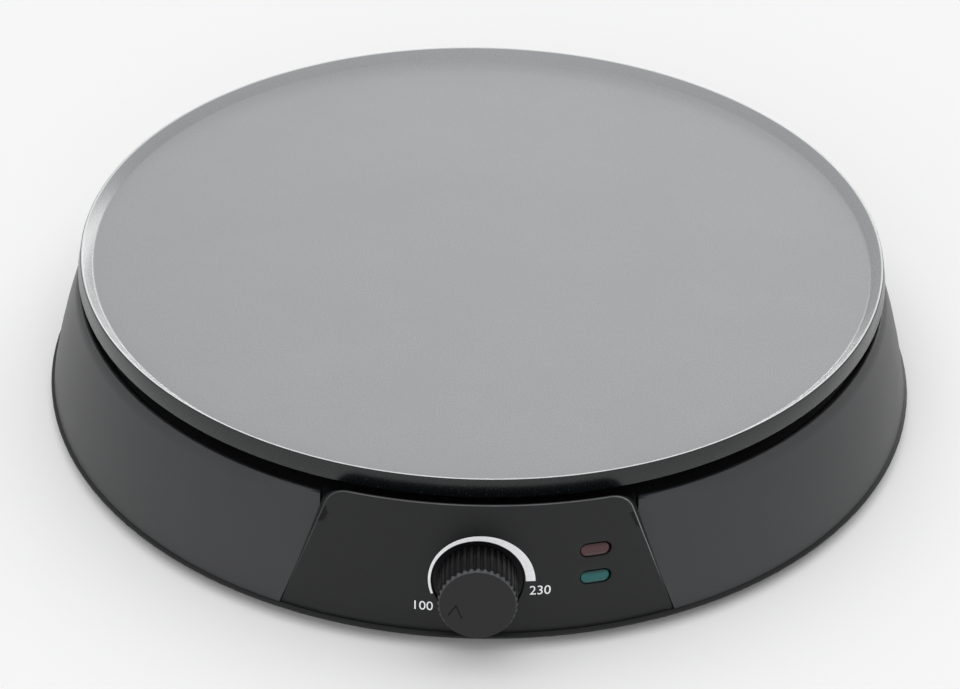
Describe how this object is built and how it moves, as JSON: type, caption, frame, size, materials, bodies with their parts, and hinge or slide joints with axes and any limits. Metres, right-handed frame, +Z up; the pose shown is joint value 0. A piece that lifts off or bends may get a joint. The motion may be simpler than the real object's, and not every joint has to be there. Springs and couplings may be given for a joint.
{
  "type": "electric crepe maker",
  "caption": "Round electric crepe maker: shallow-rimmed hotplate over a low sloping round base, proud control panel with fluted thermostat knob and signal lamps.",
  "frame": {"origin": "on the vertical axis of the cooking plate, at the height of the surface the feet stand on", "axes": "+Z up, the control panel and its knob face -Y, the cord inlet faces +Y, +X to the right of someone facing the panel"},
  "size_m": [0.336, 0.359, 0.0608],
  "materials": {
    "plate_coating": "light satin non-stick coating, speckled on the rim",
    "element_sheath": "dull oxidised tube",
    "ceramic": "unglazed",
    "brass": "plain",
    "steel_sheet": "rolled sheet",
    "dark_sheet": "blackened sheet",
    "zinc_screws": "zinc plated",
    "housing_black": "satin moulded",
    "panel_black": "semi-gloss moulded",
    "knob_black": "satin moulded",
    "bimetal": "rolled strip",
    "contact_copper": "spring bronze",
    "contact_silver": "worn silver",
    "lens_red": "tinted, unlit",
    "lens_green": "tinted, unlit",
    "lamp_glass": "clear",
    "inner_plastic": "natural heat-resistant",
    "cover_black": "fine moulded grain",
    "lead_sleeve": "glass-braid sleeve",
    "foot_rubber": "soft"
  },
  "bodies": {
    "base": {"cooking_plate": "plate_coating", "heating_element": "element_sheath", "element_insulators": "ceramic", "element_tabs": "brass", "heat_shield": "dark_sheet", "plate_spacers": "dark_sheet", "plate_screws": "zinc_screws", "housing": "housing_black", "control_panel": "panel_black", "panel_screws": "zinc_screws", "thermostat_frame": "steel_sheet", "thermostat_bush": "brass", "thermostat_stack": "ceramic", "stack_rivet": "zinc_screws", "bimetal_blade": "bimetal", "contact_blades": "contact_copper", "contact_points": "contact_silver", "thermostat_bracket": "steel_sheet", "bracket_screws": "zinc_screws", "red_lens": "lens_red", "green_lens": "lens_green", "lamp_holder": "inner_plastic", "holder_screws": "zinc_screws", "lamp_bulbs": "lamp_glass", "thermal_fuse": "ceramic", "fuse_clip": "steel_sheet", "fuse_screw": "zinc_screws", "terminal_block": "inner_plastic", "terminal_screws": "brass", "leads": "lead_sleeve", "earth_tab": "brass", "earth_screw": "zinc_screws", "bottom_cover": "cover_black", "cover_screws": "zinc_screws", "feet": "foot_rubber", "foot_screws": "zinc_screws", "cord_gland": "cover_black", "cord_clamp": "inner_plastic", "clamp_screws": "zinc_screws"},
    "knob": {"knob": "knob_black"},
    "spindle": {"thermostat_spindle": "steel_sheet", "setting_pin": "ceramic"}
  },
  "joints": [
    {"name": "knob_turn", "type": "hinge", "parent": "base", "child": "knob", "pos_m": [0, -0.16352, 0.0266], "axis": [0, 0.989, -0.1478], "range_deg": [0, 200]},
    {"name": "spindle_advance", "type": "slide", "parent": "knob", "child": "spindle", "axis": [0, -0.989, 0.1478], "range_m": [0, 0.000557]}
  ],
  "couplings": [
    {"joint": "spindle_advance", "follows": "knob_turn", "m_per_rad": 0.00015915}
  ]
}
